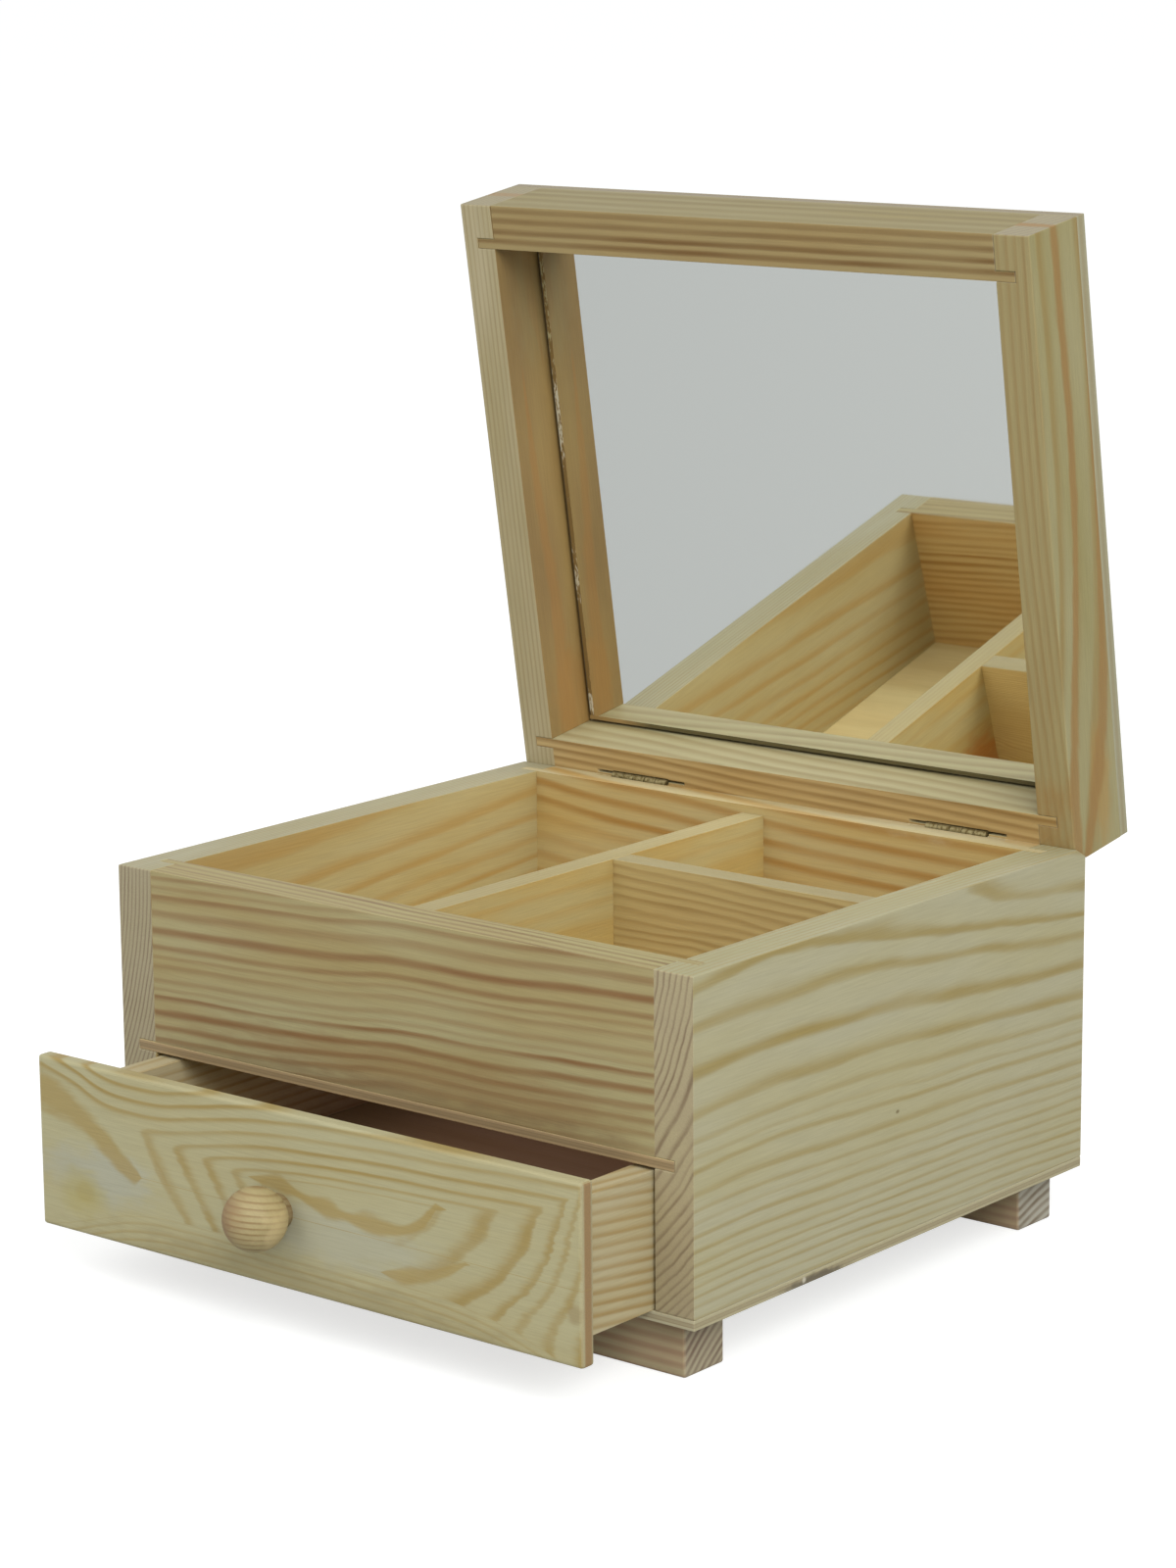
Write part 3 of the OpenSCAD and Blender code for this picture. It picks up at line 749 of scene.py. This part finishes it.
DRAWER_FRONT = Timber(
    "drawer_front", "drawer", X, heart=(0, 0), ruler=("up", 0), rings=(), share=0.34,
    tone=Tone("#aaa37e", "#a89e75", "#98834a"), ends=Tone("#a39a76", "#a39a76", "#90734a"),
    marks=(Mark((14, -39, 34), (50, 9, 11), "#a7a48c", 0.8),
           Mark((-76, -39, 34), (30, 9, 11), "#a4a390", 0.8),
           Mark((0, -39, 14), (112, 9, 13), "#8c815c", 0.55),
           Mark((-83, -39, 28), (12, 9, 10), "#a4985a", 0.6),
           Mark((-52, -39, 39.6), (1.9, 9, 13), "#97814a", 0.55, (0, -34.6, 0)),
           Streak(((30, 27.6), (40, 28.6), (50, 31), (60, 36)),
                  ((30, 0), (35, 2), (41, 3.4), (48, 2.6), (56, 2), (62, 0)), "#9c8548", 0.7),
           Mark((-82, -39, 28), (5, 9, 5), "#9c8b46", 0.4),
           Mark((97, -39, 30), (3, 9, 3.4), "#8a7448", 0.5),
           Streak(((-104, 56), (-95, 54.5), (-88, 52.5), (-80, 48.5), (-72, 43.5), (-66, 39), (-62, 36.5)),
                  ((-104, 8), (-95, 8), (-88, 6.5), (-80, 5.6), (-72, 5.2), (-66, 4.6), (-62, 3.4),
                   (-59, 0)), "#9a8449", 0.75),
           Streak(((-17, 45), (-8, 45.2), (0, 43.6), (10, 41.6), (20, 40.6), (30, 40), (38, 40.8),
                   (44, 43.5), (50, 49.5)),
                  ((-18, 0), (-12, 2), (-6, 3.6), (0, 1.6), (6, 2.4), (12, 3.8), (18, 2), (26, 4),
                   (33, 3.4), (40, 2), (46, 2.8), (50, 1.4), (54, 0)), "#9c8548", 0.75)))


# Metal, mirror and tape: sizes in millimetres

TARNISH_SPOTS_PER_MM = 0.9
TURNED_LINE_STEP = 0.25
TURNED_LINE_LENGTH = 5
FOAM_CELL = 0.4

# The mirror as on the shut box, with the strips along its edges that have lost their silver
MIRROR_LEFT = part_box("mirror")[0][0] / MM
MIRROR_REAR = 171.5
LEFT_STRIP = 1.9
LEFT_STRIP_RAGGEDNESS = 0.6
REAR_STRIP = 1.3
CUT_LINE = (0.3, 0.55)
CRUMBS_PER_MM = (2.2, 0.5, 2.2)
HAZE_PATCHES_PER_MM = 0.03
CLEAR_ROUGHNESS = 0.012
HAZE_ROUGHNESS = 0.03
BACKING_ROUGHNESS = 0.5

# How much silver is left on the left strip, from front to back. A flake shows where this and the
# crumbs together pass the edge. Flakes are paler further back. The rear strip darkens rightwards with
# painted shade, in the gap beside the glass that widens that way.
SILVER_LEFT = ((10, 0.62), (45, 0.6), (55, 0.54), (60, 0.6), (66, 0.72), (76, 0.7), (86, 0.54),
               (92, 0.44), (110, 0.44), (116, 0.54), (122, 0.62), (130, 0.57), (136, 0.4), (160, 0.4),
               (164, 0.72), (168, 0.72), (171, 0.4))
FLAKE_EDGE = (1.1, 1.18)
PALER_FLAKES = (52.0, 60.0)
REAR_GAP_SHADE = (-78.0, -66.0)


def hinge_steel():
    """Nickel-plated pressed steel gone dull: a soft grey-brown, with small darker spots."""
    material = new_material("nickel_plated_steel")
    tree = material.node_tree
    place = add(tree, "TexCoord")
    specks = add(tree, "TexNoise", {"Vector": place.outputs["Object"],
                                    "Scale": TARNISH_SPOTS_PER_MM / MM, "Detail": 4.0})
    tarnish = add(tree, "MapRange", (specks, 0.35, 0.6, 0.0, 1.0), interpolation_type="SMOOTHSTEP")
    plate = add(tree, "Mix", (tarnish, linear("#71633f"), linear("#968b66")), data_type="RGBA")
    dullness = add(tree, "MapRange", (specks, *NOISE_SPREAD, 0.7, 0.55))
    bump = add(tree, "Bump", {"Strength": 0.15, "Distance": 0.00005, "Height": specks})
    surface = add(tree, "BsdfPrincipled", {"Base Color": plate, "Metallic": 1.0, "Roughness": dullness,
                                           "Normal": bump})
    add(tree, "OutputMaterial", (surface,))
    return material


def screw_steel():
    """Zinc-plated steel: bluish, bright, with a fine turned grain round the shank."""
    material = new_material("zinc_plated_steel")
    tree = material.node_tree
    place = add(tree, "TexCoord")
    round_shank = 1 / (TURNED_LINE_LENGTH * MM)
    along_shank = 1 / (TURNED_LINE_STEP * MM)
    steps = (round_shank, along_shank, round_shank)
    grain = add(tree, "Mapping", (place.outputs["Object"], (0, 0, 0), (0, 0, 0), steps))
    turned = add(tree, "TexNoise", {"Vector": grain, "Scale": 1.0, "Detail": 2.0})
    plate = add(tree, "Mix", (turned, linear("#9ea3a6"), linear("#bcc1c4")), data_type="RGBA")
    dullness = add(tree, "MapRange", (turned, *NOISE_SPREAD, 0.28, 0.42))
    bump = add(tree, "Bump", {"Strength": 0.2, "Distance": 0.00005, "Height": turned})
    surface = add(tree, "BsdfPrincipled", {"Base Color": plate, "Metallic": 1.0, "Roughness": dullness,
                                           "Normal": bump})
    add(tree, "OutputMaterial", (surface,))
    return material


def mirror_glass():
    """Silvered float glass: a clear bright face, a cut edge where the silver has flaked away."""
    material = new_material("silvered_float_glass")
    tree = material.node_tree
    place = shut_box_place(tree, "lid")
    parts = add(tree, "SeparateXYZ", (place,))
    haze = add(tree, "TexNoise", {"Vector": place, "Scale": HAZE_PATCHES_PER_MM, "Detail": 2.0})
    dullness = add(tree, "MapRange", (haze, *NOISE_SPREAD, CLEAR_ROUGHNESS, HAZE_ROUGHNESS))

    # Along the left and rear edges bare brown backing shows, with pale flakes of silver on the left
    long_way = add(tree, "Mapping", (place, (0, 0, 0), (0, 0, 0), CRUMBS_PER_MM))
    crumbs = add(tree, "TexNoise", {"Vector": long_way, "Scale": 1.0, "Detail": 4.0})
    left = add(tree, "Math", (parts.outputs["X"], MIRROR_LEFT), operation="SUBTRACT")
    left_edge = add(tree, "Math", (crumbs, LEFT_STRIP_RAGGEDNESS, left), operation="MULTIPLY_ADD")
    left_limit = LEFT_STRIP + 0.5 * LEFT_STRIP_RAGGEDNESS
    on_left = add(tree, "Math", (left_edge, left_limit), operation="LESS_THAN")
    rear = add(tree, "Math", (MIRROR_REAR, parts.outputs["Y"]), operation="SUBTRACT")
    on_rear = add(tree, "Math", (rear, REAR_STRIP), operation="LESS_THAN")
    bare = add(tree, "Math", (on_left, on_rear), operation="MAXIMUM")

    plenty = add(tree, "FloatCurve", (1.0, parts.outputs["Y"]))
    draw_curve(plenty, SILVER_LEFT)
    chance = add(tree, "Math", (crumbs, plenty), operation="ADD")
    flake = add(tree, "MapRange", (chance, *FLAKE_EDGE, 0.0, 1.0))
    pale = add(tree, "MapRange", (parts.outputs["Y"], *PALER_FLAKES, 0.0, 1.0))
    silver = add(tree, "Mix", (pale, linear("#aca47c"), linear("#c3bea8")), data_type="RGBA")
    left_tone = add(tree, "Mix", (flake, linear("#7a6238"), silver), data_type="RGBA")
    # The rear strip is painted darker to the right: painted shade in the gap beside the glass, which widens
    # that way
    dark = add(tree, "MapRange", (parts.outputs["X"], *REAR_GAP_SHADE, 0.0, 1.0))
    rear_tone = add(tree, "Mix", (dark, linear("#94794a"), linear("#544b2a")), data_type="RGBA")
    outer = add(tree, "MapRange", (left, *CUT_LINE, 0.0, 1.0))
    cut_tone = add(tree, "Mix", (outer, linear("#3f3622"), left_tone), data_type="RGBA")
    backing = add(tree, "Mix", (on_rear, cut_tone, rear_tone), data_type="RGBA")
    colour = add(tree, "Mix", (bare, linear("#f2f4f1"), backing), data_type="RGBA")
    metal = add(tree, "Math", (1.0, bare), operation="SUBTRACT")
    rough = add(tree, "Mix", (bare, dullness, BACKING_ROUGHNESS), data_type="FLOAT")
    surface = add(tree, "BsdfPrincipled", {"Base Color": colour, "Metallic": metal, "Roughness": rough})
    add(tree, "OutputMaterial", (surface,))
    return material


def foam_tape():
    """White closed-cell foam tape: matt, with small open bubbles along its cut sides."""
    material = new_material("white_foam_tape")
    tree = material.node_tree
    place = add(tree, "TexCoord")
    cells = add(tree, "TexVoronoi", {"Vector": place.outputs["Object"], "Scale": 1 / (FOAM_CELL * MM)})
    shade = add(tree, "MapRange", (cells.outputs["Distance"], 0.0, 0.7, 0.0, 1.0))
    foam = add(tree, "Mix", (shade, linear("#c9c6bb"), linear("#dedcd2")), data_type="RGBA")
    bump = add(tree, "Bump", {"Strength": 0.4, "Distance": 0.0001, "Height": cells.outputs["Distance"]})
    surface = add(tree, "BsdfPrincipled", {"Base Color": foam, "Roughness": 0.9, "IOR": 1.45,
                                           "Normal": bump})
    add(tree, "OutputMaterial", (surface,))
    return material


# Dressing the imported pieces

BOARD_ROUND = 0.35
SHEET_ROUND = 0.25
OWN_ROUND = {"drawer_front": 1.0, "front_foot": 0.8, "rear_foot": 0.8}
ROUND_STEPS = 3
ROUND_ANGLE = math.radians(30)
WELD_REACH = 1e-6


def ease_edges(piece, radius_mm):
    """Joins split corners and rounds sharp edges, as sandpaper does."""
    weld = piece.modifiers.new("join_corners", "WELD")
    weld.merge_threshold = WELD_REACH
    bevel = piece.modifiers.new("ease_edges", "BEVEL")
    bevel.width = radius_mm * MM
    bevel.segments = ROUND_STEPS
    bevel.limit_method = "ANGLE"
    bevel.angle_limit = ROUND_ANGLE
    bevel.harden_normals = False


def dress_wood():
    """Gives each wooden piece its own cut of pine and its eased edges."""
    nodes = frame["nodes"]
    boards = BOX_TIMBERS + LID_TIMBERS + DRAWER_TIMBERS
    wear(nodes[DRAWER_FRONT.node], pine(DRAWER_FRONT, cathedral_rings))
    for timber in boards:
        wear(nodes[timber.node], pine(timber))
    for timber in SHEETS:
        wear(nodes[timber.node], pine(timber, plywood_rings))
        ease_edges(nodes[timber.node], SHEET_ROUND)
    for timber in boards + [DRAWER_FRONT]:
        # The knob is turned, and has no sharp edges
        if timber.node != "knob":
            ease_edges(nodes[timber.node], OWN_ROUND.get(timber.node, BOARD_ROUND))


def dress_fittings():
    """Gives the hinges, screw, mirror and tape their finishes."""
    nodes = frame["nodes"]
    nickel = hinge_steel()
    for name, piece in nodes.items():
        if "hinge" in name:
            wear(piece, nickel)
    wear(nodes["knob_screw"], screw_steel())
    wear(nodes["mirror"], mirror_glass())
    wear(nodes["mirror_tape"], foam_tape())


make_camera()
make_world()
make_floor()
make_lamp("key_soft_box", **KEY_LAMP)
make_lamp("fill_soft_box", **FILL_LAMP)
tray_pieces = [frame["nodes"][timber.node] for timber in BOX_TIMBERS + SHEETS if timber.body == "box"]
make_lamp("mirror_glow", **MIRROR_GLOW, falls_on=tray_pieces)
make_lamp("drawer_glow", **DRAWER_GLOW)
dress_wood()
dress_fittings()
bpy.context.scene.view_settings.view_transform = "Standard"
